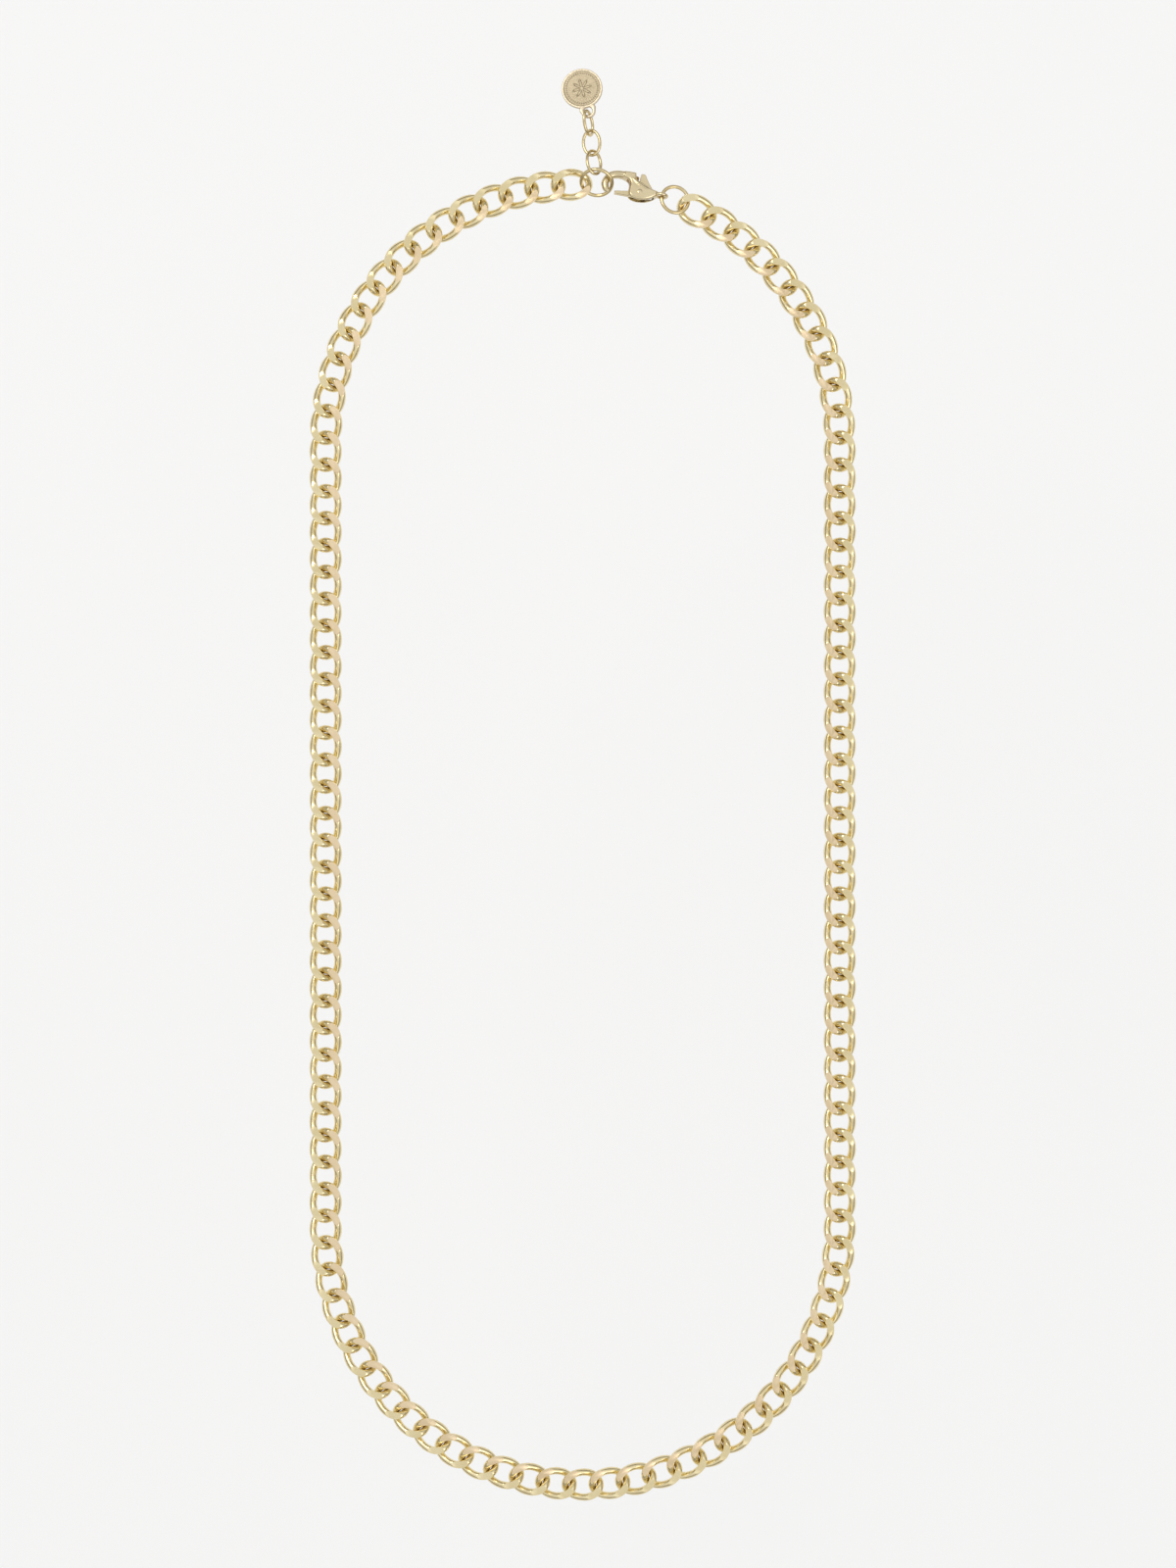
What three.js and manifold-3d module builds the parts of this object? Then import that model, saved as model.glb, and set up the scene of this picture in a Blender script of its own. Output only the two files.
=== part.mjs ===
// Curb-chain necklace lying flat: 115 curb links in short runs, two jump rings, a lobster clasp with its
// lever, rivet and spring, and a short extender with a round tag. Millimetres, +Z up, resting on z = 0.
import * as THREE from 'three';
import * as BufferGeometryUtils from 'three/addons/utils/BufferGeometryUtils.js';
import Module from 'manifold-3d';

const wasm = await Module();
wasm.setup();

// ---- driving dimensions -------------------------------------------------------------------------

// Loop: a stadium, two half circles joined by straight sides.
const LOOP_RADIUS = 48.3;
const LOOP_STRAIGHT = 147.7;
const LOOP_Y = -9.37;

// Curb links, counted from the bottom of the loop.
const PITCH = 5.04;
const WIRE = 1.4;
const LINK_HALF_WIDTH = 2.35;
const LINK_TWIST = 0.85;
const FLAT = 1.12;
const LINKS_PER_RUN = 3;
const RUNS_RIGHT = 18;
const RUNS_LEFT = 19;
const LAST_LEFT_RUN_LINKS = 4;
const SEAT = 0.14;
const PLAY = 0.3;
const INNER_LENGTH = (LINKS_PER_RUN * PITCH - (LINKS_PER_RUN - 1) * SEAT + PLAY) / LINKS_PER_RUN;
const SEATED_PITCH = INNER_LENGTH + SEAT;

// Jump rings at the clasp.
const RING_WIRE = 0.7;
const LEFT_RING_RADIUS = 2.9;
const RIGHT_RING_RADIUS = 2.6;

// Lobster clasp, in its own frame: x from the tail eye to the hook, y towards the thumb side.
const CLASP_THICKNESS = 2.4;
const CLASP_BEVEL = 0.35;
const HOOK_REACH = 9.65;
const HOOK_GAP = 0.5;
const CLAW_RADIUS = 0.72;
const CLAW_X = HOOK_REACH + HOOK_GAP + CLAW_RADIUS;
const EYE_RADIUS = 0.97;
const EYE_WIRE = 0.64;
const SLOT_WIDTH = 1.3;
const LEVER_THICKNESS = 0.9;
const PIVOT = [4.2, -0.35];
const RIVET_RADIUS = 0.35;
const RIVET_GAP = 0.12;
const SPRING_STRIP = 0.22;

// Extender links and tag.
const EXTENDER_WIRE = 0.6;
const EXTENDER_HALF_LENGTH = 2.35;
const EXTENDER_HALF_WIDTH = 1.7;
const TAG_RADIUS = 3.85;
const TAG_THICKNESS = 0.8;
const TAG_RIM = 0.35;
const TAG_RECESS = 0.12;
const TAG_LUG_OFFSET = 4.55;
const TAG_LUG_RADIUS = 1.35;
const TAG_HOLE_RADIUS = 0.8;

// Boolean results are cleaned to this size.
const SHORTEST_EDGE = 0.02;

// How the loose pieces lie: centre measured from the top of the loop, then heading in plan, roll about
// the piece's own x axis and pitch, in degrees. Each hangs in its neighbour with a little clearance.
const LEFT_RING = { x: 2.62, y: 0.3, z: 2.14, heading: -12.9, roll: 38.1, pitch: -3.1 };
const RIGHT_RING = { x: 17.35, y: -2.88, z: 1.39, heading: -19.4, roll: -19.6, pitch: -8.9 };
const CLASP = { x: 14.8, y: -2.18, z: 1.89, heading: 170.2, roll: 198, pitch: 2.9 };
const EXTENDER_LINKS = [
  { x: 2.11, y: 3.97, z: 3.26, heading: 90.5, roll: 42, pitch: -20.9 },
  { x: 1.68, y: 7.71, z: 2.44, heading: 96.4, roll: -25.5, pitch: -4.7 },
  { x: 1.07, y: 11.41, z: 2.51, heading: 103.1, roll: 63.4, pitch: 19.4 },
];
const TAG = { x: -0.09, y: 17.86, z: 1.15, heading: 105.3, roll: -1.8, pitch: -11.6 };

// ---- solids -------------------------------------------------------------------------------------

// A closed manifold solid from a three.js geometry.
function solid(geometry) {
  const plain = geometry.clone();
  plain.deleteAttribute('normal');
  plain.deleteAttribute('uv');
  const merged = BufferGeometryUtils.mergeVertices(plain, 1e-4);
  const mesh = new wasm.Mesh({
    numProp: 3,
    vertProperties: new Float32Array(merged.attributes.position.array),
    triVerts: new Uint32Array(merged.index.array),
  });
  return new wasm.Manifold(mesh);
}

// Edges too short to keep are closed up first.
function geometryOf(manifold) {
  const mesh = manifold.simplify(SHORTEST_EDGE).getMesh();
  const geometry = new THREE.BufferGeometry();
  geometry.setAttribute('position', new THREE.BufferAttribute(new Float32Array(mesh.vertProperties), 3));
  geometry.setIndex(new THREE.BufferAttribute(new Uint32Array(mesh.triVerts), 1));
  geometry.computeVertexNormals();
  return geometry;
}

// A torus bent so that its centre line is an oval, twisted out of plane, and cut to a flat thickness.
function oval({ halfLength, halfWidth, twist, wire, flat, around, section }) {
  const geometry = new THREE.TorusGeometry(1, 0.5, section, around);
  const place = geometry.attributes.position;
  for (let i = 0; i < place.count; i += 1) {
    const across = Math.hypot(place.getX(i), place.getY(i)) - 1;
    const turn = Math.atan2(place.getY(i), place.getX(i));
    const along = new THREE.Vector3(
      -halfLength * Math.sin(turn),
      halfWidth * Math.cos(turn),
      -2 * twist * Math.cos(2 * turn),
    ).normalize();
    const outward = new THREE.Vector3(along.y, -along.x, 0).normalize();
    const upward = new THREE.Vector3().crossVectors(outward, along);
    const point = new THREE.Vector3(
      halfLength * Math.cos(turn),
      halfWidth * Math.sin(turn),
      -twist * Math.sin(2 * turn),
    );
    point.addScaledVector(outward, across * wire);
    point.addScaledVector(upward, place.getZ(i) * wire);
    place.setXYZ(i, point.x, point.y, THREE.MathUtils.clamp(point.z, -flat, flat));
  }
  return geometry;
}

// ---- loop ---------------------------------------------------------------------------------------

// Place and heading on the loop, distance measured counter-clockwise from the bottom.
function onLoop(distance) {
  const quarter = (Math.PI / 2) * LOOP_RADIUS;
  const side = Math.sign(distance) || 1;
  const run = Math.abs(distance);
  let x = LOOP_RADIUS;
  let y = run - quarter - LOOP_STRAIGHT / 2;
  let heading = Math.PI / 2;
  if (run < quarter) {
    heading = run / LOOP_RADIUS;
    x = LOOP_RADIUS * Math.sin(heading);
    y = -LOOP_STRAIGHT / 2 - LOOP_RADIUS * Math.cos(heading);
  } else if (run > quarter + LOOP_STRAIGHT) {
    heading = (run - LOOP_STRAIGHT) / LOOP_RADIUS;
    x = LOOP_RADIUS * Math.sin(heading);
    y = LOOP_STRAIGHT / 2 - LOOP_RADIUS * Math.cos(heading);
  }
  return { x: side * x, y: y + LOOP_Y, heading: side * heading };
}

const linkGeometry = oval({
  halfLength: (INNER_LENGTH + WIRE) / 2,
  halfWidth: LINK_HALF_WIDTH,
  twist: LINK_TWIST,
  wire: WIRE,
  flat: FLAT,
  around: 12,
  section: 5,
});

// Distances along the loop of the links in one run: 0 is the bottom run, positive runs go right.
function linkDistances(run) {
  const side = Math.sign(run) || 1;
  const count = run === -RUNS_LEFT ? LAST_LEFT_RUN_LINKS : LINKS_PER_RUN;
  const distances = [];
  for (let i = 0; i < count; i += 1) {
    distances.push(run * LINKS_PER_RUN * PITCH + side * (i - 1) * SEATED_PITCH);
  }
  return distances;
}

// One run of links, each seated against the next so that the run is one solid.
function chainRun(run) {
  let joined = null;
  for (const distance of linkDistances(run)) {
    const { x, y, heading } = onLoop(distance);
    const matrix = new THREE.Matrix4().makeRotationZ(heading).setPosition(x, y, FLAT);
    const link = solid(linkGeometry.clone().applyMatrix4(matrix));
    joined = joined ? joined.add(link) : link;
  }
  return geometryOf(joined);
}

// ---- materials ----------------------------------------------------------------------------------

const CHAIN_GOLD = { color: '#dcc69a', roughness: 0.3, metalness: 1 };
const RING_GOLD = { color: '#d9c694', roughness: 0.26, metalness: 1 };
const CLASP_GOLD = { color: '#d8c392', roughness: 0.28, metalness: 1 };
const TAG_GOLD = { color: '#d9c49b', roughness: 0.36, metalness: 1 };
const SPRING_STEEL = { color: '#b9b6ae', roughness: 0.35, metalness: 1 };

const necklace = new THREE.Group();

function addPart(parent, name, geometry, finish) {
  const mesh = new THREE.Mesh(geometry, new THREE.MeshStandardMaterial(finish));
  mesh.name = name;
  parent.add(mesh);
  return mesh;
}

// ---- chain --------------------------------------------------------------------------------------

function runName(run) {
  if (run === 0) {
    return 'chain_run_bottom';
  }
  const side = run > 0 ? 'right' : 'left';
  return `chain_run_${side}_${String(Math.abs(run)).padStart(2, '0')}`;
}

for (let run = -RUNS_LEFT; run <= RUNS_RIGHT; run += 1) {
  addPart(necklace, runName(run), chainRun(run), CHAIN_GOLD);
}

// ---- jump rings ---------------------------------------------------------------------------------

function ring(radius, wire) {
  return new THREE.TorusGeometry(radius, wire / 2, 6, 24);
}

// A group whose frame lies as stated, measured from the top of the loop.
function placed({ x, y, z, heading, roll, pitch }) {
  const top = LOOP_Y + LOOP_STRAIGHT / 2 + LOOP_RADIUS;
  const group = new THREE.Group();
  group.position.set(x, y + top, z);
  group.rotation.order = 'ZYX';
  group.rotation.set(
    THREE.MathUtils.degToRad(roll),
    -THREE.MathUtils.degToRad(pitch),
    THREE.MathUtils.degToRad(heading),
  );
  necklace.add(group);
  return group;
}

addPart(placed(LEFT_RING), 'jump_ring_left', ring(LEFT_RING_RADIUS, RING_WIRE), RING_GOLD);
addPart(placed(RIGHT_RING), 'jump_ring_right', ring(RIGHT_RING_RADIUS, RING_WIRE), RING_GOLD);

// ---- lobster clasp ------------------------------------------------------------------------------

function plate(shape, thickness, bevel = 0) {
  const geometry = new THREE.ExtrudeGeometry(shape, {
    depth: thickness - 2 * bevel,
    bevelEnabled: bevel > 0,
    bevelThickness: bevel,
    bevelSize: bevel,
    bevelOffset: -bevel,
    bevelSegments: 1,
    curveSegments: 4,
  });
  return geometry.translate(0, 0, -thickness / 2 + bevel);
}

function block(x0, x1, y0, y1, thickness) {
  return new THREE.BoxGeometry(x1 - x0, y1 - y0, thickness).translate((x0 + x1) / 2, (y0 + y1) / 2, 0);
}

// The two cheeks and the root of the claw, seen from the side.
function cheekShape() {
  const shape = new THREE.Shape();
  shape.moveTo(0.85, 0.5);
  shape.lineTo(0.85, -0.5);
  shape.quadraticCurveTo(2.2, -1.9, 4.3, -1.9);
  shape.quadraticCurveTo(5.9, -1.9, 6.3, -1.1);
  shape.lineTo(6.3, 1.1);
  shape.quadraticCurveTo(6.4, 1.9, 7.6, 2.05);
  shape.lineTo(7.6, 3.35);
  shape.quadraticCurveTo(6.4, 3.55, 5.3, 3.4);
  shape.lineTo(5.05, 2.0);
  shape.lineTo(1.6, 0.6);
  return shape;
}

function clawCurve() {
  return new THREE.CatmullRomCurve3([
    new THREE.Vector3(6.6, 2.72, 0),
    new THREE.Vector3(8.4, 2.72, 0),
    new THREE.Vector3(CLAW_X - 0.75, 2.2, 0),
    new THREE.Vector3(CLAW_X, 0.7, 0),
    new THREE.Vector3(CLAW_X - 0.25, -0.45, 0),
    new THREE.Vector3(CLAW_X - 0.95, -0.95, 0),
  ]);
}

function claspBody() {
  const curve = clawCurve();
  const disc = new THREE.Shape().absarc(0, 0, CLAW_RADIUS, 0, 2 * Math.PI, false);
  const claw = new THREE.ExtrudeGeometry(disc, { steps: 10, curveSegments: 4, extrudePath: curve });
  const tip = new THREE.SphereGeometry(CLAW_RADIUS * 0.98, 10, 6);
  tip.translate(...curve.getPoint(1).toArray());
  const eyeRing = new THREE.TorusGeometry(EYE_RADIUS, EYE_WIRE / 2, 6, 16).rotateX(Math.PI / 2);
  const bore = new THREE.CylinderGeometry(
    RIVET_RADIUS + RIVET_GAP,
    RIVET_RADIUS + RIVET_GAP,
    2 * CLASP_THICKNESS,
    12,
  );
  bore.rotateX(Math.PI / 2).translate(...PIVOT, 0);
  let body = solid(plate(cheekShape(), CLASP_THICKNESS, CLASP_BEVEL));
  body = body.add(solid(claw)).add(solid(tip)).add(solid(eyeRing));
  body = body.subtract(solid(block(1.4, 6.8, -3, 1.15, SLOT_WIDTH)));
  body = body.subtract(solid(block(1.4, 5.1, 1, 4, SLOT_WIDTH)));
  return geometryOf(body.subtract(solid(bore)));
}

function leverShape() {
  const [px, py] = PIVOT;
  const shape = new THREE.Shape();
  shape.moveTo(px + 0.2, py - 1.0);
  shape.lineTo(8.85, -1.3);
  shape.lineTo(8.85, -0.75);
  shape.lineTo(6.4, -0.35);
  shape.quadraticCurveTo(5.2, 0.1, 4.9, 0.7);
  shape.lineTo(4.45, 2.2);
  shape.lineTo(4.4, 3.35);
  shape.quadraticCurveTo(4.0, 3.75, 3.5, 3.4);
  shape.quadraticCurveTo(2.9, 2.2, 2.0, 1.05);
  shape.lineTo(2.3, 0.6);
  shape.lineTo(3.25, 0.3);
  shape.quadraticCurveTo(3.0, -1.1, px + 0.2, py - 1.0);
  const bore = new THREE.Path().absarc(px, py, RIVET_RADIUS + RIVET_GAP, 0, 2 * Math.PI, true);
  shape.holes.push(bore);
  return shape;
}

function springShape() {
  const shape = new THREE.Shape();
  shape.moveTo(1.62, -0.4);
  shape.lineTo(1.62, -0.85);
  shape.quadraticCurveTo(1.8, -1.3, 2.9, -1.05);
  shape.lineTo(2.9, -1.05 + SPRING_STRIP);
  shape.quadraticCurveTo(2.1, -1.05, 1.62 + SPRING_STRIP, -0.75);
  shape.lineTo(1.62 + SPRING_STRIP, -0.4);
  return shape;
}

const claspPlace = placed(CLASP);
const rivet = new THREE.CylinderGeometry(RIVET_RADIUS, RIVET_RADIUS, CLASP_THICKNESS, 12);
rivet.rotateX(Math.PI / 2).translate(...PIVOT, 0);
addPart(claspPlace, 'clasp_body', claspBody(), CLASP_GOLD);
addPart(claspPlace, 'clasp_lever', plate(leverShape(), LEVER_THICKNESS), CLASP_GOLD);
addPart(claspPlace, 'clasp_rivet', rivet, CLASP_GOLD);
addPart(claspPlace, 'clasp_spring', plate(springShape(), LEVER_THICKNESS), SPRING_STEEL);

// ---- extender and tag ---------------------------------------------------------------------------

const extenderGeometry = oval({
  halfLength: EXTENDER_HALF_LENGTH,
  halfWidth: EXTENDER_HALF_WIDTH,
  twist: 0,
  wire: EXTENDER_WIRE,
  flat: Infinity,
  around: 16,
  section: 6,
});

EXTENDER_LINKS.forEach((place, index) => {
  addPart(placed(place), `extender_link_${index + 1}`, extenderGeometry.clone(), RING_GOLD);
});

// Tag: a disc with a raised rim and a pierced lug, lying with its far edge on the surface.
function tag() {
  const profile = [
    [0, 0],
    [TAG_RADIUS, 0],
    [TAG_RADIUS, TAG_THICKNESS],
    [TAG_RADIUS - TAG_RIM, TAG_THICKNESS],
    [TAG_RADIUS - TAG_RIM - TAG_RECESS, TAG_THICKNESS - TAG_RECESS],
    [0, TAG_THICKNESS - TAG_RECESS],
  ];
  const disc = new THREE.LatheGeometry(profile.map(([r, h]) => new THREE.Vector2(r, h)), 28);
  disc.rotateX(Math.PI / 2);
  const lug = new THREE.CylinderGeometry(TAG_LUG_RADIUS, TAG_LUG_RADIUS, TAG_THICKNESS, 16);
  lug.rotateX(Math.PI / 2).translate(-TAG_LUG_OFFSET, 0, TAG_THICKNESS / 2);
  const hole = new THREE.CylinderGeometry(TAG_HOLE_RADIUS, TAG_HOLE_RADIUS, 4, 12);
  hole.rotateX(Math.PI / 2).translate(-TAG_LUG_OFFSET, 0, 0);
  return geometryOf(solid(disc).add(solid(lug)).subtract(solid(hole)));
}

addPart(placed(TAG), 'tag_disc', tag(), TAG_GOLD);

export default necklace;
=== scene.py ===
"""Looks for the curb-chain necklace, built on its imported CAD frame.

Chain links, rings, clasp, extender and tag are modelled finely here, each riding its own CAD body.
Lengths are worked in millimetres and scaled to metres when a mesh is finished.
"""

import math

import bmesh
import bpy
from mathutils import Euler, Matrix, Vector


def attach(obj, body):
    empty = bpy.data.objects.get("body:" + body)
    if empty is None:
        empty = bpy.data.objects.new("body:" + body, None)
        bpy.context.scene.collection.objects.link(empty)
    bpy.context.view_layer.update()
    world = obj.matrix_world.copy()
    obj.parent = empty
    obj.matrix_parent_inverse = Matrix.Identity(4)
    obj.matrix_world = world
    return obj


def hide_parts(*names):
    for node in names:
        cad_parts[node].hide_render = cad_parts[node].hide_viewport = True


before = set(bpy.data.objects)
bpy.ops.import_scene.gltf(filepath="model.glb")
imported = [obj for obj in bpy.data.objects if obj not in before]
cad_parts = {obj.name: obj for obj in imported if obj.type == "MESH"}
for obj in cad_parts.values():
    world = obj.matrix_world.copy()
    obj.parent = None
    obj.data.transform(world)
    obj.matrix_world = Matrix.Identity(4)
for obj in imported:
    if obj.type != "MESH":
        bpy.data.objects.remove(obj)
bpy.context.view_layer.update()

MM = 0.001

# ---- dimensions of the CAD frame, in millimetres ------------------------------------------------

LOOP_RADIUS = 48.3
LOOP_STRAIGHT = 147.7
LOOP_Y = -9.37
LOOP_TOP = LOOP_Y + LOOP_STRAIGHT / 2 + LOOP_RADIUS

PITCH = 5.04
WIRE = 1.4
LINK_HALF_WIDTH = 2.35
LINK_TWIST = 0.85
FLAT = 1.12
LINKS_PER_RUN = 3
RUNS_RIGHT = 18
RUNS_LEFT = 19
LAST_LEFT_RUN_LINKS = 4
LINK_PLAY = 0.1
INNER_LENGTH = PITCH + LINK_PLAY

RING_WIRE = 0.7
LEFT_RING_RADIUS = 2.9
RIGHT_RING_RADIUS = 2.6

CLASP_THICKNESS = 2.4
EYE_RADIUS = 0.97
EYE_WIRE = 0.64
PIVOT = (4.2, -0.35)
RIVET_RADIUS = 0.35
SLOT_WIDTH = 1.3
LEVER_THICKNESS = 0.9
SPRING_STRIP = 0.22

EXTENDER_WIRE = 0.6
EXTENDER_HALF_LENGTH = 2.35
EXTENDER_HALF_WIDTH = 1.7

TAG_RADIUS = 3.85
TAG_THICKNESS = 0.8
TAG_RIM = 0.35
TAG_RECESS = 0.12
TAG_LUG_OFFSET = 4.55
TAG_LUG_RADIUS = 1.35
TAG_HOLE_RADIUS = 0.8

# Centre from the top of the loop, then heading, roll and pitch in degrees.
LEFT_RING = (2.62, 0.3, 2.14, -12.9, 38.1, -3.1)
RIGHT_RING = (17.35, -2.88, 1.39, -19.4, -19.6, -8.9)
CLASP = (14.8, -2.18, 1.89, 170.2, 198, 2.9)
EXTENDER_LINKS = (
    (2.11, 3.97, 3.26, 90.5, 42, -20.9),
    (1.68, 7.71, 2.44, 96.4, -25.5, -4.7),
    (1.07, 11.41, 2.51, 103.1, 63.4, 19.4),
)
TAG = (-0.09, 17.86, 1.15, 105.3, -1.8, -11.6)


# ---- camera and room ----------------------------------------------------------------------------

CAMERA_HEIGHT = 1.2
PICTURE_LENGTH = 0.29466
CENTRE_X = 0.0010
CENTRE_Y = 0.00013
SENSOR = 36.0

camera = bpy.data.objects.new("camera", bpy.data.cameras.new("camera"))
bpy.context.scene.collection.objects.link(camera)
camera.data.sensor_width = SENSOR
camera.data.lens = SENSOR * CAMERA_HEIGHT / PICTURE_LENGTH
camera.data.clip_start = 0.01
camera.data.clip_end = 20
camera.location = (CENTRE_X, CENTRE_Y, CAMERA_HEIGHT + FLAT * MM)
bpy.context.scene.camera = camera
bpy.context.scene.view_settings.view_transform = "Standard"


def node(tree, kind, **values):
    """A new shader node; each value sets the input of that name, or else the property."""
    made = tree.nodes.new(kind)
    for key, value in values.items():
        if key in made.inputs:
            made.inputs[key].default_value = value
        else:
            setattr(made, key, value)
    return made


# Height of the direction looked in, 0 at the horizon and below and 1 overhead, and the light's colour there
WORLD_STOPS = (
    (0.0, (0.42, 0.41, 0.38)),
    (0.12, (0.24, 0.22, 0.19)),
    (0.35, (0.50, 0.48, 0.45)),
    (0.60, (1.05, 1.04, 1.03)),
    (0.90, (1.12, 1.12, 1.13)),
    (0.985, (0.85, 0.84, 0.83)),
)
WORLD_STRENGTH = 0.93

FLOOR_HALF = 6.0
FLOOR_DROP = 0.2
FLOOR_TINTS = ((0.852, 0.858, 0.866, 1), (0.858, 0.864, 0.872, 1))


def world_light():
    """A soft studio dome, dim at the sides and bright above."""
    world = bpy.data.worlds.new("studio")
    world.use_nodes = True
    bpy.context.scene.world = world
    tree = world.node_tree
    coords = node(tree, "ShaderNodeTexCoord")
    split = node(tree, "ShaderNodeSeparateXYZ")
    ramp = node(tree, "ShaderNodeValToRGB")
    elements = ramp.color_ramp.elements
    while len(elements) < len(WORLD_STOPS):
        elements.new(0.5)
    for element, (at, colour) in zip(elements, WORLD_STOPS):
        element.position = at
        element.color = (*colour, 1)
    background = tree.nodes["Background"]
    tree.links.new(coords.outputs["Generated"], split.inputs[0])
    tree.links.new(split.outputs["Z"], ramp.inputs["Fac"])
    tree.links.new(ramp.outputs["Color"], background.inputs["Color"])
    background.inputs["Strength"].default_value = WORLD_STRENGTH


def area_light(name, place, size, power, colour):
    """A round soft light aimed at the middle of the necklace."""
    data = bpy.data.lights.new(name, "AREA")
    data.shape = "DISK"
    data.size = size
    data.energy = power
    data.color = colour
    light = bpy.data.objects.new(name, data)
    light.location = place
    light.rotation_euler = (-Vector(place)).to_track_quat("-Z", "Y").to_euler()
    bpy.context.scene.collection.objects.link(light)


def floor():
    """Plain pale paper, far enough below that no shadow shows from above."""
    material = bpy.data.materials.new("floor_paper")
    material.use_nodes = True
    tree = material.node_tree
    shader = tree.nodes["Principled BSDF"]
    shader.inputs["Roughness"].default_value = 0.9
    shader.inputs["Specular IOR Level"].default_value = 0.1
    coords = node(tree, "ShaderNodeTexCoord")
    grain = node(tree, "ShaderNodeTexNoise", Scale=40.0, Detail=3.0)
    mix = node(tree, "ShaderNodeMix", data_type="RGBA")
    mix.inputs["A"].default_value = FLOOR_TINTS[0]
    mix.inputs["B"].default_value = FLOOR_TINTS[1]
    tree.links.new(coords.outputs["Object"], grain.inputs["Vector"])
    tree.links.new(grain.outputs["Fac"], mix.inputs["Factor"])
    tree.links.new(mix.outputs["Result"], shader.inputs["Base Color"])
    mesh = bpy.data.meshes.new("floor")
    half = FLOOR_HALF
    mesh.from_pydata(
        [(-half, -half, 0), (half, -half, 0), (half, half, 0), (-half, half, 0)], [], [(0, 1, 2, 3)]
    )
    mesh.materials.append(material)
    sheet = bpy.data.objects.new("floor", mesh)
    sheet.location.z = -FLOOR_DROP
    bpy.context.scene.collection.objects.link(sheet)


world_light()
area_light("key", place=(-0.55, 0.65, 1.1), size=0.7, power=4.6, colour=(1.0, 0.985, 0.95))
area_light("fill", place=(0.8, -0.5, 1.0), size=0.9, power=2.8, colour=(1.0, 0.99, 0.97))
floor()

# ---- materials ----------------------------------------------------------------------------------

BUMP_DEPTH = 0.00003


def metal(name, light, dark, roughness, spread, relief, grain, scratch):
    """A pale gold with slow colour drift, fine surface grain, hairline scratches, brighter edges and
    painted shade where links touch.
    """
    material = bpy.data.materials.new(name)
    material.use_nodes = True
    tree = material.node_tree
    shader = tree.nodes["Principled BSDF"]
    shader.inputs["Metallic"].default_value = 1.0
    coords = node(tree, "ShaderNodeTexCoord")

    drift = node(tree, "ShaderNodeTexNoise", Scale=260.0, Detail=4.0, Roughness=0.6)
    blotch = node(tree, "ShaderNodeMapRange")
    blotch.inputs["From Min"].default_value = 0.35
    blotch.inputs["From Max"].default_value = 0.65
    tint = node(tree, "ShaderNodeMix", data_type="RGBA")
    tint.inputs["A"].default_value = (*dark, 1)
    tint.inputs["B"].default_value = (*light, 1)
    tree.links.new(coords.outputs["Object"], drift.inputs["Vector"])
    tree.links.new(drift.outputs["Fac"], blotch.inputs["Value"])
    tree.links.new(blotch.outputs["Result"], tint.inputs["Factor"])

    geometry = node(tree, "ShaderNodeNewGeometry")
    edge = node(tree, "ShaderNodeMapRange")
    edge.inputs["From Min"].default_value = 0.52
    edge.inputs["From Max"].default_value = 0.62
    edge.inputs["To Max"].default_value = 0.5
    worn = node(tree, "ShaderNodeMix", data_type="RGBA")
    worn.inputs["B"].default_value = (*[min(1.0, c * 1.12 + 0.03) for c in light], 1)
    tree.links.new(geometry.outputs["Pointiness"], edge.inputs["Value"])
    tree.links.new(edge.outputs["Result"], worn.inputs["Factor"])
    tree.links.new(tint.outputs["Result"], worn.inputs["A"])
    # Painted shade: the gold is darkened where links touch, standing in for the shadow there.
    painted_shade_mask = node(tree, "ShaderNodeAttribute", attribute_name="painted_contact_shade")
    painted_shade_mix = node(tree, "ShaderNodeMix", data_type="RGBA")
    painted_shade_mix.inputs["B"].default_value = (dark[0] * 0.62, dark[1] * 0.50, dark[2] * 0.30, 1)
    tree.links.new(painted_shade_mask.outputs["Fac"], painted_shade_mix.inputs["Factor"])
    tree.links.new(worn.outputs["Result"], painted_shade_mix.inputs["A"])
    tree.links.new(painted_shade_mix.outputs["Result"], shader.inputs["Base Color"])

    fine = node(tree, "ShaderNodeTexNoise", Scale=grain, Detail=5.0, Roughness=0.65)
    tree.links.new(coords.outputs["Object"], fine.inputs["Vector"])
    stretch = node(tree, "ShaderNodeMapping")
    stretch.inputs["Rotation"].default_value = (0.3, 0.2, 0.7)
    stretch.inputs["Scale"].default_value = (1.0, 14.0, 6.0)
    hair = node(tree, "ShaderNodeTexNoise", Scale=scratch, Detail=3.0, Roughness=0.7)
    tree.links.new(coords.outputs["Object"], stretch.inputs["Vector"])
    tree.links.new(stretch.outputs["Vector"], hair.inputs["Vector"])
    both = node(tree, "ShaderNodeMath", operation="ADD")
    tree.links.new(fine.outputs["Fac"], both.inputs[0])
    tree.links.new(hair.outputs["Fac"], both.inputs[1])

    polish = node(tree, "ShaderNodeMapRange")
    polish.inputs["From Min"].default_value = 0.7
    polish.inputs["From Max"].default_value = 1.3
    polish.inputs["To Min"].default_value = roughness - spread
    polish.inputs["To Max"].default_value = roughness + spread
    tree.links.new(both.outputs["Value"], polish.inputs["Value"])
    tree.links.new(polish.outputs["Result"], shader.inputs["Roughness"])

    bump = node(tree, "ShaderNodeBump", Strength=relief, Distance=BUMP_DEPTH)
    tree.links.new(both.outputs["Value"], bump.inputs["Height"])
    tree.links.new(bump.outputs["Normal"], shader.inputs["Normal"])
    return material


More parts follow.
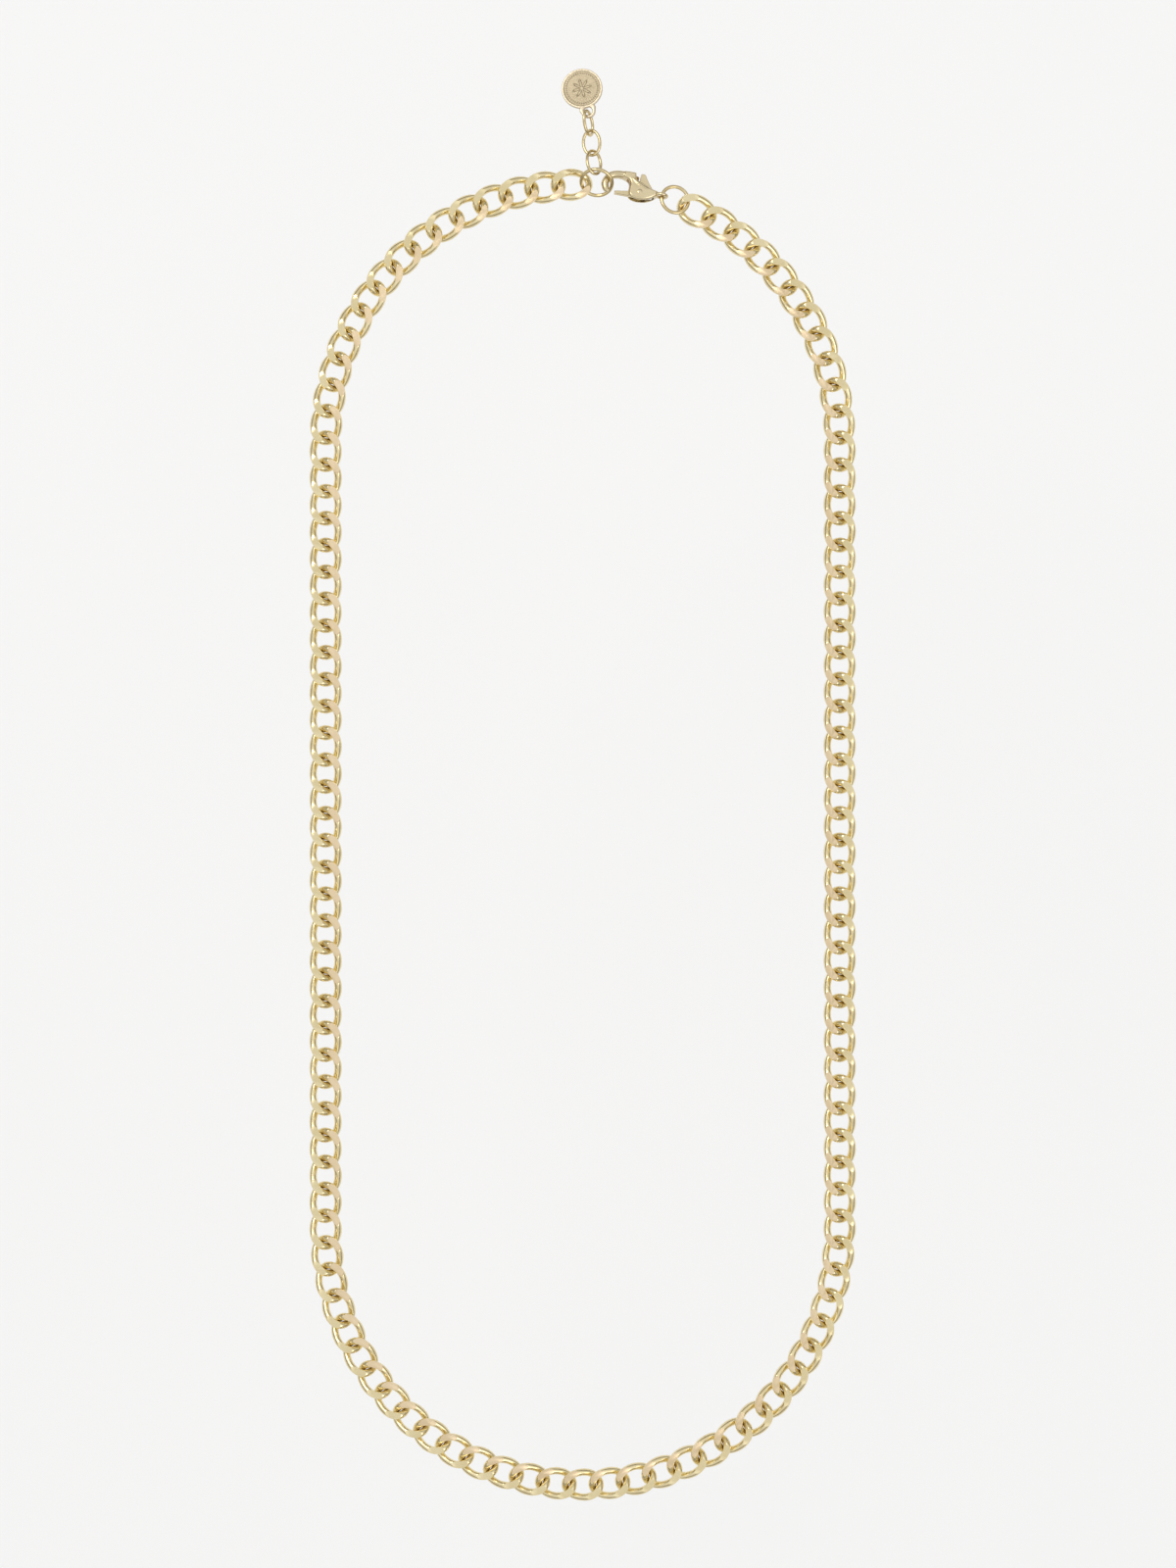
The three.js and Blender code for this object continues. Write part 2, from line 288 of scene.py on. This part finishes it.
# Light tint, dark tint, roughness and its spread, strength of the relief, scales of grain and of scratches
WIRE_GOLD = metal("wire_gold", (0.86, 0.75, 0.47), (0.79, 0.67, 0.39), 0.20, 0.05, 0.25, 2600.0, 900.0)
LAPPED_GOLD = metal("lapped_gold", (0.74, 0.60, 0.40), (0.67, 0.53, 0.33), 0.34, 0.06, 0.4, 3200.0, 1200.0)
RING_GOLD = metal("ring_gold", (0.70, 0.585, 0.345), (0.63, 0.505, 0.27), 0.18, 0.05, 0.25, 2800.0, 1000.0)
CLASP_GOLD = metal("clasp_gold", (0.70, 0.60, 0.395), (0.63, 0.53, 0.325), 0.22, 0.05, 0.35, 2000.0, 700.0)
# Painted shade: a dark gold for the inside of the clasp's slots, in place of the shadow there.
CLASP_PAINTED_SHADE = metal("clasp_slot_painted_shade", (0.42, 0.25, 0.08), (0.30, 0.16, 0.04), 0.45, 0.08, 0.5, 2000.0, 700.0)
TAG_GOLD = metal("tag_gold", (0.61, 0.53, 0.385), (0.55, 0.465, 0.33), 0.36, 0.06, 0.5, 2600.0, 900.0)
TAG_FIELD = metal("tag_field", (0.485, 0.41, 0.28), (0.42, 0.35, 0.235), 0.46, 0.06, 0.8, 3400.0, 1400.0)
STEEL = metal("spring_steel", (0.62, 0.60, 0.57), (0.54, 0.52, 0.49), 0.28, 0.06, 0.3, 2600.0, 1200.0)

# ---- mesh helpers -------------------------------------------------------------------------------


def frame_of(place):
    """The matrix of a piece that lies at the given centre, heading, roll and pitch."""
    x, y, z, heading, roll, pitch = place
    turn = Euler((math.radians(roll), -math.radians(pitch), math.radians(heading)), "XYZ")
    return Matrix.Translation((x, y + LOOP_TOP, z)) @ turn.to_matrix().to_4x4()


def finish(bm, name, matrix, body, replaced, materials, sharp=40.0):
    """Turns a mesh in millimetres into a named piece in place of its CAD node."""
    bm.transform(Matrix.Scale(MM, 4) @ matrix)
    bmesh.ops.recalc_face_normals(bm, faces=bm.faces)
    mesh = bpy.data.meshes.new(name)
    bm.to_mesh(mesh)
    bm.free()
    for material in materials:
        mesh.materials.append(material)
    for face in mesh.polygons:
        face.use_smooth = True
    mesh.set_sharp_from_angle(angle=math.radians(sharp))
    piece = bpy.data.objects.new(name, mesh)
    bpy.context.scene.collection.objects.link(piece)
    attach(piece, body)
    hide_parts(replaced)


def skin(bm, rows, closed, caps=True):
    """Faces between successive rings of vertices, closed round or capped at both ends."""
    count = len(rows[0])
    pairs = list(zip(rows, rows[1:]))
    if closed:
        pairs.append((rows[-1], rows[0]))
    for near, far in pairs:
        for i in range(count):
            j = (i + 1) % count
            bm.faces.new((near[i], near[j], far[j], far[i]))
    if caps and not closed:
        bm.faces.new(reversed(rows[0]))
        bm.faces.new(rows[-1])


def ring_of_wire(bm, half_length, half_width, twist, wire, around, section, gap=0.0):
    """A wire bent to an oval in the xy plane, twisted out of plane; a gap leaves a cut seam."""
    rows = []
    closed = gap == 0
    steps = around if closed else around + 1
    for i in range(steps):
        turn = 2 * math.pi * i / around
        if not closed:
            turn = gap / 2 + (2 * math.pi - gap) * i / around
        centre = Vector(
            (half_length * math.cos(turn), half_width * math.sin(turn), -twist * math.sin(2 * turn))
        )
        along = Vector(
            (-half_length * math.sin(turn), half_width * math.cos(turn), -2 * twist * math.cos(2 * turn))
        ).normalized()
        outward = Vector((along.y, -along.x, 0)).normalized()
        upward = outward.cross(along)
        row = []
        for k in range(section):
            angle = 2 * math.pi * k / section
            offset = outward * math.cos(angle) + upward * math.sin(angle)
            row.append(bm.verts.new(centre + offset * (wire / 2)))
        rows.append(row)
    skin(bm, rows, closed)


def sweep(bm, points, widths, heights, section):
    """A tube in the xy plane through the points, with its own height in plane and width across it."""
    rows = []
    last = len(points) - 1
    for i, point in enumerate(points):
        along = (points[min(i + 1, last)] - points[max(i - 1, 0)]).normalized()
        outward = Vector((along.y, -along.x, 0))
        row = []
        for k in range(section):
            angle = 2 * math.pi * k / section
            offset = outward * (heights[i] * math.cos(angle)) + Vector((0, 0, widths[i] * math.sin(angle)))
            row.append(bm.verts.new(point + offset))
        rows.append(row)
    skin(bm, rows, False)


def smooth_path(controls, steps):
    """Catmull-Rom points through rows of numbers, which may hold more than coordinates."""

    def between(p, q, r, w, t):
        square = (2 * p - 5 * q + 4 * r - w) * t**2
        cube = (3 * q - p - 3 * r + w) * t**3
        return 0.5 * (2 * q + (r - p) * t + square + cube)

    made = []
    last = len(controls) - 1
    for i in range(last):
        a, b, c, d = (controls[min(max(i + k, 0), last)] for k in (-1, 0, 1, 2))
        for s in range(steps):
            made.append([between(*values, s / steps) for values in zip(a, b, c, d)])
    made.append(list(controls[last]))
    return made


CURVE_STEPS = 8


def outline(*parts):
    """A flat outline: (x, y) is a corner, (cx, cy, x, y) is a curve bent by its control point."""
    made = [Vector(parts[0])]
    for part in parts[1:]:
        if len(part) == 2:
            made.append(Vector(part))
            continue
        start, bend, end = made[-1], Vector(part[:2]), Vector(part[2:])
        for s in range(1, CURVE_STEPS + 1):
            t = s / CURVE_STEPS
            made.append(start * (1 - t) ** 2 + bend * (2 * t * (1 - t)) + end * t**2)
    return made


def merge(bm, part):
    """Moves everything in the part into the mesh."""
    mesh = bpy.data.meshes.new("part")
    part.to_mesh(mesh)
    part.free()
    bm.from_mesh(mesh)
    bpy.data.meshes.remove(mesh)


def turned_row(bm, count, radius_at, height_at, centre_x=0.0, centre_y=0.0):
    """One ring of vertices about an upright axis, its radius and height given by angle."""
    row = []
    for i in range(count):
        angle = 2 * math.pi * i / count
        radius = radius_at(angle)
        x = centre_x + radius * math.cos(angle)
        y = centre_y + radius * math.sin(angle)
        row.append(bm.verts.new((x, y, height_at(angle))))
    return row


def close_with_tip(bm, row, centre, height):
    """Closes a ring of vertices with a fan round a point on its axis."""
    tip = bm.verts.new((*centre, height))
    for near, far in zip(row, row[1:] + row[:1]):
        bm.faces.new((near, far, tip))


def plate(bm, loop, levels):
    """A plate from an outline, one ring per (height, inset) level."""
    area = sum(a.x * b.y - b.x * a.y for a, b in zip(loop, loop[1:] + loop[:1]))
    side = 1 if area > 0 else -1
    count = len(loop)
    normals = []
    for i in range(count):
        before = (loop[i] - loop[i - 1]).normalized()
        after = (loop[(i + 1) % count] - loop[i]).normalized()
        mean = (before + after).normalized()
        normals.append(Vector((mean.y, -mean.x)) * side)
    rows = []
    for height, inset in levels:
        rows.append(
            [bm.verts.new((p.x - n.x * inset, p.y - n.y * inset, height)) for p, n in zip(loop, normals)]
        )
    skin(bm, rows, False)


def box(bm, x0, x1, y0, y1, half):
    """A box between two x and two y values, half as high on each side of z = 0."""
    corners = [Vector((x0, y0)), Vector((x1, y0)), Vector((x1, y1)), Vector((x0, y1))]
    plate(bm, corners, ((-half, 0), (half, 0)))


def applied(bm, *modifiers):
    """The mesh after the given modifiers, each a (type, settings) pair."""
    mesh = bpy.data.meshes.new("work")
    bmesh.ops.recalc_face_normals(bm, faces=bm.faces)
    bm.to_mesh(mesh)
    bm.free()
    work = bpy.data.objects.new("work", mesh)
    bpy.context.scene.collection.objects.link(work)
    for kind, settings in modifiers:
        modifier = work.modifiers.new(kind, kind)
        for key, value in settings.items():
            setattr(modifier, key, value)
    bpy.context.view_layer.update()
    evaluated = work.evaluated_get(bpy.context.evaluated_depsgraph_get())
    result = bmesh.new()
    result.from_mesh(evaluated.to_mesh())
    evaluated.to_mesh_clear()
    bpy.data.objects.remove(work)
    bpy.data.meshes.remove(mesh)
    return result


def cut(bm, tool):
    """The mesh with the tool's volume removed."""
    mesh = bpy.data.meshes.new("tool")
    bmesh.ops.recalc_face_normals(tool, faces=tool.faces)
    tool.to_mesh(mesh)
    tool.free()
    knife = bpy.data.objects.new("tool", mesh)
    bpy.context.scene.collection.objects.link(knife)
    result = applied(bm, ("BOOLEAN", {"operation": "DIFFERENCE", "object": knife, "solver": "EXACT"}))
    bpy.data.objects.remove(knife)
    bpy.data.meshes.remove(mesh)
    return result


def cast(bm, voxel, rounds):
    """One smooth skin over everything in the mesh, with softened edges."""
    return applied(
        bm,
        ("REMESH", {"mode": "VOXEL", "voxel_size": voxel}),
        ("SMOOTH", {"factor": 0.5, "iterations": rounds}),
    )


# ---- chain --------------------------------------------------------------------------------------

LINK_STEPS = 88
LINK_SECTION = 24
LAPPING_MERGE = 0.004
LAPPED_LIP = 0.035
# How dark the painted contact shade is, and where it starts and fades out.
PAINTED_CONTACT_SHADE = 0.75
PAINTED_SHADE_START = 0.02
PAINTED_SHADE_REACH = 0.42


def smoothstep(low, high, value):
    """0 at low and beyond it, 1 at high and beyond it, smooth between; low may be above high."""
    t = min(max((value - low) / (high - low), 0.0), 1.0)
    return t * t * (3 - 2 * t)


def link_centre(turn, offset):
    """A point on the middle line of a link's wire, the link moved along the chain by the offset."""
    return Vector(
        (
            (INNER_LENGTH + WIRE) / 2 * math.cos(turn) + offset,
            LINK_HALF_WIDTH * math.sin(turn),
            -LINK_TWIST * math.sin(2 * turn),
        )
    )


def paint_contact_shade(bm):
    """Marks how close each point lies to the neighbouring links, for the painted shade that darkens the
    gold there.
    """
    layer = bm.verts.layers.float.new("painted_contact_shade")
    steps = 72
    neighbours = [
        link_centre(2 * math.pi * i / steps, side * PITCH) for side in (-1, 1) for i in range(steps)
    ]
    for vertex in bm.verts:
        near = min((vertex.co - point).length for point in neighbours) - WIRE / 2
        vertex[layer] = PAINTED_CONTACT_SHADE * (1 - smoothstep(PAINTED_SHADE_START, PAINTED_SHADE_REACH, near))


def curb_link():
    """One twisted link with its lapped flats, the flats in the second material."""
    bm = bmesh.new()
    half_length = (INNER_LENGTH + WIRE) / 2
    ring_of_wire(bm, half_length, LINK_HALF_WIDTH, LINK_TWIST, WIRE, LINK_STEPS, LINK_SECTION)
    for side in (1, -1):
        cutoff = bmesh.ops.bisect_plane(
            bm,
            geom=bm.verts[:] + bm.edges[:] + bm.faces[:],
            plane_co=(0, 0, side * FLAT),
            plane_no=(0, 0, side),
            clear_outer=True,
        )
        rim = [e for e in cutoff["geom_cut"] if isinstance(e, bmesh.types.BMEdge)]
        bmesh.ops.holes_fill(bm, edges=rim, sides=0)
    bmesh.ops.remove_doubles(bm, verts=bm.verts, dist=LAPPING_MERGE)
    bm.normal_update()
    for face in bm.faces:
        if abs(face.normal.z) > 0.999 and all(abs(abs(v.co.z) - FLAT) < 1e-4 for v in face.verts):
            face.material_index = 1
    lips = [e for e in bm.edges if len({f.material_index for f in e.link_faces}) > 1]
    bmesh.ops.bevel(
        bm, geom=lips, offset=LAPPED_LIP, segments=2, affect="EDGES", clamp_overlap=True, material=0
    )
    paint_contact_shade(bm)
    mesh = bpy.data.meshes.new("curb_link")
    bm.to_mesh(mesh)
    bm.free()
    return mesh


def on_loop(distance):
    """Place and heading on the loop, distance counter-clockwise from its bottom."""
    quarter = math.pi / 2 * LOOP_RADIUS
    side = -1 if distance < 0 else 1
    run = abs(distance)
    x, y, heading = LOOP_RADIUS, run - quarter - LOOP_STRAIGHT / 2, math.pi / 2
    if run < quarter:
        heading = run / LOOP_RADIUS
        x = LOOP_RADIUS * math.sin(heading)
        y = -LOOP_STRAIGHT / 2 - LOOP_RADIUS * math.cos(heading)
    elif run > quarter + LOOP_STRAIGHT:
        heading = (run - LOOP_STRAIGHT) / LOOP_RADIUS
        x = LOOP_RADIUS * math.sin(heading)
        y = LOOP_STRAIGHT / 2 - LOOP_RADIUS * math.cos(heading)
    return side * x, y + LOOP_Y, side * heading


def run_name(run):
    """The CAD node of a run, counted from the bottom: negative to the left, positive to the right."""
    if run == 0:
        return "chain_run_bottom"
    side = "right" if run > 0 else "left"
    return f"chain_run_{side}_{abs(run):02d}"


def chain_run(run, link):
    """The links of one run, each at its own place on the loop."""
    side = -1 if run < 0 else 1
    count = LAST_LEFT_RUN_LINKS if run == -RUNS_LEFT else LINKS_PER_RUN
    bm = bmesh.new()
    for i in range(count):
        x, y, heading = on_loop(side * (abs(run) * LINKS_PER_RUN + i - 1) * PITCH)
        part = bmesh.new()
        part.from_mesh(link)
        part.transform(Matrix.Translation((x, y, FLAT)) @ Matrix.Rotation(heading, 4, "Z"))
        merge(bm, part)
    name = run_name(run)
    finish(bm, name + "_links", Matrix(), name, name, (WIRE_GOLD, LAPPED_GOLD), 30.0)


link_mesh = curb_link()
for run in range(-RUNS_LEFT, RUNS_RIGHT + 1):
    chain_run(run, link_mesh)
bpy.data.meshes.remove(link_mesh)

# ---- jump rings and extender links --------------------------------------------------------------

RING_STEPS = 120
RING_SECTION = 24
SEAM = 0.012
EXTENDER_STEPS = 112
EXTENDER_SECTION = 20

for name, place, radius in (
    ("jump_ring_left", LEFT_RING, LEFT_RING_RADIUS),
    ("jump_ring_right", RIGHT_RING, RIGHT_RING_RADIUS),
):
    bm = bmesh.new()
    ring_of_wire(bm, radius, radius, 0, RING_WIRE, RING_STEPS, RING_SECTION, SEAM)
    finish(bm, name + "_wire", frame_of(place), name, name, (RING_GOLD,))

for number, place in enumerate(EXTENDER_LINKS, 1):
    name = f"extender_link_{number}"
    bm = bmesh.new()
    ring_of_wire(
        bm, EXTENDER_HALF_LENGTH, EXTENDER_HALF_WIDTH, 0, EXTENDER_WIRE, EXTENDER_STEPS, EXTENDER_SECTION
    )
    finish(bm, name + "_wire", frame_of(place), name, name, (RING_GOLD,))

# ---- lobster clasp ------------------------------------------------------------------------------

CHEEK = (
    (0.85, 0.45),
    (0.85, -0.45),
    (2.2, -1.9, 4.3, -1.9),
    (5.9, -1.9, 6.3, -1.1),
    (6.3, 1.1),
    (6.4, 1.9, 7.6, 2.05),
    (7.6, 3.35),
    (6.4, 3.55, 5.3, 3.4),
    (5.05, 2.0),
    (1.6, 0.6),
)
# x, y, half height in plane and half width across, from the root of the claw to its tip
CLAW = (
    (6.3, 2.65, 0.80, 1.15),
    (7.6, 2.72, 0.78, 1.05),
    (8.8, 2.68, 0.76, 0.95),
    (10.1, 2.15, 0.74, 0.86),
    (10.83, 0.8, 0.72, 0.78),
    (10.62, -0.35, 0.64, 0.66),
    (10.15, -0.85, 0.50, 0.52),
    (9.95, -0.98, 0.28, 0.30),
)


# The same four values along the swelling that runs from the claw down to the eye
SPINE = (
    (6.6, 2.60, 0.60, 1.16),
    (5.6, 1.85, 0.60, 1.28),
    (4.6, 1.15, 0.60, 1.35),
    (3.4, 0.60, 0.55, 1.33),
    (2.3, 0.25, 0.40, 1.20),
    (1.5, 0.10, 0.25, 0.85),
)
# The web at the end of the slot, in front of the thumb piece
WEB = ((5.35, 0.9), (5.35, 2.95), (4.66, 2.7), (4.66, 2.2), (5.02, 0.95))
WEB_HALF = 0.45
# Height and inset of the cheeks' rounded edges, from the middle outwards
CHEEK_EDGE = ((0.5, 0), (0.92, 0.06), (CLASP_THICKNESS / 2, 0.34))
# x from, x to, y from and y to of the slots that the lever works in
SLOTS = ((1.4, 6.8, -3.0, 1.15), (1.4, 5.1, 1.0, 4.0))
# The faces inside the slots that are seen from the thumb side, dark with painted shade, and how far past
# the slot wall they reach
SHADED_SLOT_X = (1.3, 6.9)
SHADED_SLOT_Y = (-0.6, 3.3)
SHADED_SLOT_MARGIN = 0.04
CLAW_SECTION = 28
ROUGH_VOXEL = 0.08
FINE_VOXEL = 0.06
LEVER_VOXEL = 0.05


def clasp_body():
    """Cheeks, claw and tail eye as one casting, slotted for the lever."""
    bm = bmesh.new()
    lower_edge = tuple((-height, inset) for height, inset in reversed(CHEEK_EDGE))
    plate(bm, outline(*CHEEK), lower_edge + CHEEK_EDGE)
    for controls in (CLAW, SPINE):
        path = smooth_path(controls, 8)
        sweep(
            bm,
            [Vector((x, y, 0)) for x, y, _, _ in path],
            [across for _, _, _, across in path],
            [tall for _, _, tall, _ in path],
            CLAW_SECTION,
        )
    eye = bmesh.new()
    ring_of_wire(eye, EYE_RADIUS, EYE_RADIUS, 0, EYE_WIRE, 48, 16)
    eye.transform(Matrix.Rotation(math.pi / 2, 4, "X"))
    merge(bm, eye)
    body = cast(bm, ROUGH_VOXEL, 4)
    for x0, x1, y0, y1 in SLOTS:
        slot = bmesh.new()
        box(slot, x0, x1, y0, y1, SLOT_WIDTH / 2)
        body = cut(body, slot)
    plate(body, outline(*WEB), ((-WEB_HALF, 0), (WEB_HALF, 0)))
    body = cast(body, FINE_VOXEL, 4)
    body.normal_update()
    # Faces inside the slots take the painted shade.
    for face in body.faces:
        centre = face.calc_center_median()
        in_depth = abs(centre.z) < SLOT_WIDTH / 2 + SHADED_SLOT_MARGIN
        in_length = SHADED_SLOT_X[0] < centre.x < SHADED_SLOT_X[1]
        if in_depth and in_length and SHADED_SLOT_Y[0] < centre.y < SHADED_SLOT_Y[1]:
            face.material_index = 1
    finish(
        body, "clasp_body_casting", frame_of(CLASP), "clasp_body", "clasp_body",
        (CLASP_GOLD, CLASP_PAINTED_SHADE), 60.0,
    )


LEVER = (
    (4.4, -1.35),
    (8.85, -1.3),
    (8.85, -0.75),
    (6.4, -0.35),
    (5.2, 0.1, 4.9, 0.7),
    (4.45, 2.2),
    (4.4, 3.35),
    (4.0, 3.75, 3.5, 3.4),
    (2.9, 2.2, 2.0, 1.05),
    (2.3, 0.6),
    (3.25, 0.3),
    (3.0, -1.1, 4.4, -1.35),
)
THUMB_RIDGES = ((3.35, 3.2), (3.02, 2.72), (2.68, 2.2))
THUMB_RIDGE_RADIUS = 0.1


def clasp_lever():
    """The sprung finger with its ridged thumb piece."""
    bm = bmesh.new()
    half = LEVER_THICKNESS / 2
    plate(bm, outline(*LEVER), ((-half, 0.08), (-half + 0.1, 0), (half - 0.1, 0), (half, 0.08)))
    radii = [THUMB_RIDGE_RADIUS] * 2
    for x, y in THUMB_RIDGES:
        sweep(bm, [Vector((x, y, -half)), Vector((x, y, half))], radii, radii, 12)
    lever = cast(bm, LEVER_VOXEL, 3)
    finish(
        lever, "clasp_lever_casting", frame_of(CLASP), "clasp_lever", "clasp_lever",
        (CLASP_GOLD,), 60.0,
    )


def revolved(bm, profile, around, centre=(0.0, 0.0)):
    """A closed solid turned about z from (radius, height) pairs that start and end on the axis."""
    rows = [
        turned_row(bm, around, lambda _, r=radius: r, lambda _, h=height: h, *centre)
        for radius, height in profile[1:-1]
    ]
    skin(bm, rows, False, caps=False)
    close_with_tip(bm, rows[0], centre, profile[0][1])
    close_with_tip(bm, rows[-1], centre, profile[-1][1])


RIVET_HEAD_RADIUS = 0.5
RIVET_HEAD_HEIGHT = 0.14
RIVET_HEAD_SINK = 0.06


def clasp_rivet():
    """The lever's pivot, with a domed head on each cheek."""
    seat = CLASP_THICKNESS / 2 - RIVET_HEAD_SINK
    angles = [math.pi / 2 * k / 6 for k in range(7)]
    dome = [(RIVET_HEAD_RADIUS * math.sin(a), seat + RIVET_HEAD_HEIGHT * math.cos(a)) for a in angles]
    shank = [(RIVET_RADIUS, seat), (RIVET_RADIUS, -seat)]
    bm = bmesh.new()
    revolved(bm, dome + shank + [(r, -h) for r, h in reversed(dome)], 32, PIVOT)
    finish(
        bm, "clasp_rivet_pin", frame_of(CLASP), "clasp_body", "clasp_rivet", (CLASP_GOLD,)
    )


def clasp_spring():
    """The bent strip between the tail of the body and the lever."""
    bm = bmesh.new()
    half = LEVER_THICKNESS / 2
    strip = outline(
        (1.62, -0.4),
        (1.62, -0.85),
        (1.8, -1.3, 2.9, -1.05),
        (2.9, -1.05 + SPRING_STRIP),
        (2.1, -1.05, 1.62 + SPRING_STRIP, -0.75),
        (1.62 + SPRING_STRIP, -0.4),
    )
    plate(bm, strip, ((-half, 0.03), (-half + 0.03, 0), (half - 0.03, 0), (half, 0.03)))
    finish(
        bm, "clasp_spring_strip", frame_of(CLASP), "clasp_body", "clasp_spring", (STEEL,)
    )


clasp_body()
clasp_lever()
clasp_rivet()
clasp_spring()

# ---- tag ----------------------------------------------------------------------------------------

TAG_AROUND = 288
TAG_RINGS = 84
TAG_EDGE = 0.12
RIM_SLOPE = 0.16
BEAD_COUNT = 44
BEAD_RING_RADIUS = 2.95
BEAD_HEIGHT = 0.09
PETAL_COUNT = 8
PETAL_REACH = 1.75
PATTERN_HEIGHT = 0.1
FIELD_MARGIN = 0.1
TAG_BACK_HALF = 0.3
# Radius and height down the tag's edge and round to its back
TAG_SIDE = (
    (TAG_RADIUS, 0.5),
    (TAG_RADIUS, TAG_EDGE),
    (TAG_RADIUS - 0.035, 0.035),
    (TAG_RADIUS - TAG_EDGE, 0.0),
)

LUG_AROUND = 96
LUG_FLARE = 0.35
LUG_FLARE_ANGLE = 62
LUG_FLARE_SPREAD = 24
# Height and inset of the lug's rounded edges, from back to front
LUG_LEVELS = ((0.05, 0.06), (0.12, 0.0), (0.62, 0.0), (0.72, 0.05), (0.75, 0.12))


def tag_height(radius, angle):
    """Height of the tag's face: raised rim, sunk field, a ring of fine beads and a plain rosette."""
    inner = TAG_RADIUS - TAG_RIM
    field = TAG_THICKNESS - TAG_RECESS * (1 - smoothstep(inner - RIM_SLOPE, inner, radius))
    over = max(0.0, radius - TAG_RADIUS + TAG_EDGE) / TAG_EDGE
    edge = TAG_EDGE * (1 - math.sqrt(max(0.0, 1 - over**2)))
    bead_ring = smoothstep(0.17, 0.05, abs(radius - BEAD_RING_RADIUS))
    beads = BEAD_HEIGHT * smoothstep(-0.2, 0.9, math.cos(BEAD_COUNT * angle)) * bead_ring
    petals = PETAL_REACH * (0.62 + 0.38 * math.cos(PETAL_COUNT * angle))
    line = smoothstep(0.12, -0.02, abs(radius - petals) - 0.06)
    rosette = PATTERN_HEIGHT * line * smoothstep(0.35, 0.5, radius)
    boss = PATTERN_HEIGHT * smoothstep(0.42, 0.3, radius)
    return field + beads + rosette + boss - edge


def tag_ring_radius(share):
    """Radius of a ring of the face's mesh; the rings crowd together towards the rim."""
    return TAG_RADIUS * (share if share < 0.9 else 1 - (1 - share) ** 1.35 * 2.24)


def lug_reach(angle):
    """Outer radius of the lug, drawn out on both sides to meet the disc."""
    turned = abs((math.degrees(angle) + 180) % 360 - 180)
    return TAG_LUG_RADIUS + LUG_FLARE * math.exp(-(((turned - LUG_FLARE_ANGLE) / LUG_FLARE_SPREAD) ** 2))


def tag():
    """The stamped disc and its pierced lug."""
    bm = bmesh.new()
    shares = [i / TAG_RINGS for i in range(1, TAG_RINGS + 1)]
    rows = [
        turned_row(bm, TAG_AROUND, lambda _, r=radius: r, lambda angle, r=radius: tag_height(r, angle))
        for radius in sorted({min(tag_ring_radius(share), TAG_RADIUS) for share in shares})
    ]
    rows += [
        turned_row(bm, TAG_AROUND, lambda _, r=radius: r, lambda _, h=height: h)
        for radius, height in TAG_SIDE
    ]
    skin(bm, rows, False, caps=False)
    close_with_tip(bm, rows[0], (0, 0), tag_height(0, 0))
    close_with_tip(bm, rows[-1], (0, 0), 0.0)

    lug_x = -TAG_LUG_OFFSET
    lug_rows = [
        turned_row(bm, LUG_AROUND, lambda a, i=inset: lug_reach(a) - i, lambda _, h=height: h, lug_x)
        for height, inset in LUG_LEVELS
    ]
    lug_rows += [
        turned_row(bm, LUG_AROUND, lambda _, i=inset: TAG_HOLE_RADIUS + i, lambda _, h=height: h, lug_x)
        for height, inset in reversed(LUG_LEVELS)
    ]
    skin(bm, lug_rows, True)

    for face in bm.faces:
        centre = face.calc_center_median()
        within = math.hypot(centre.x, centre.y) < TAG_RADIUS - TAG_RIM - FIELD_MARGIN
        if within and centre.z > TAG_BACK_HALF:
            face.material_index = 1
    finish(
        bm, "tag_disc_stamped", frame_of(TAG), "tag_disc", "tag_disc", (TAG_GOLD, TAG_FIELD), 50.0
    )


tag()
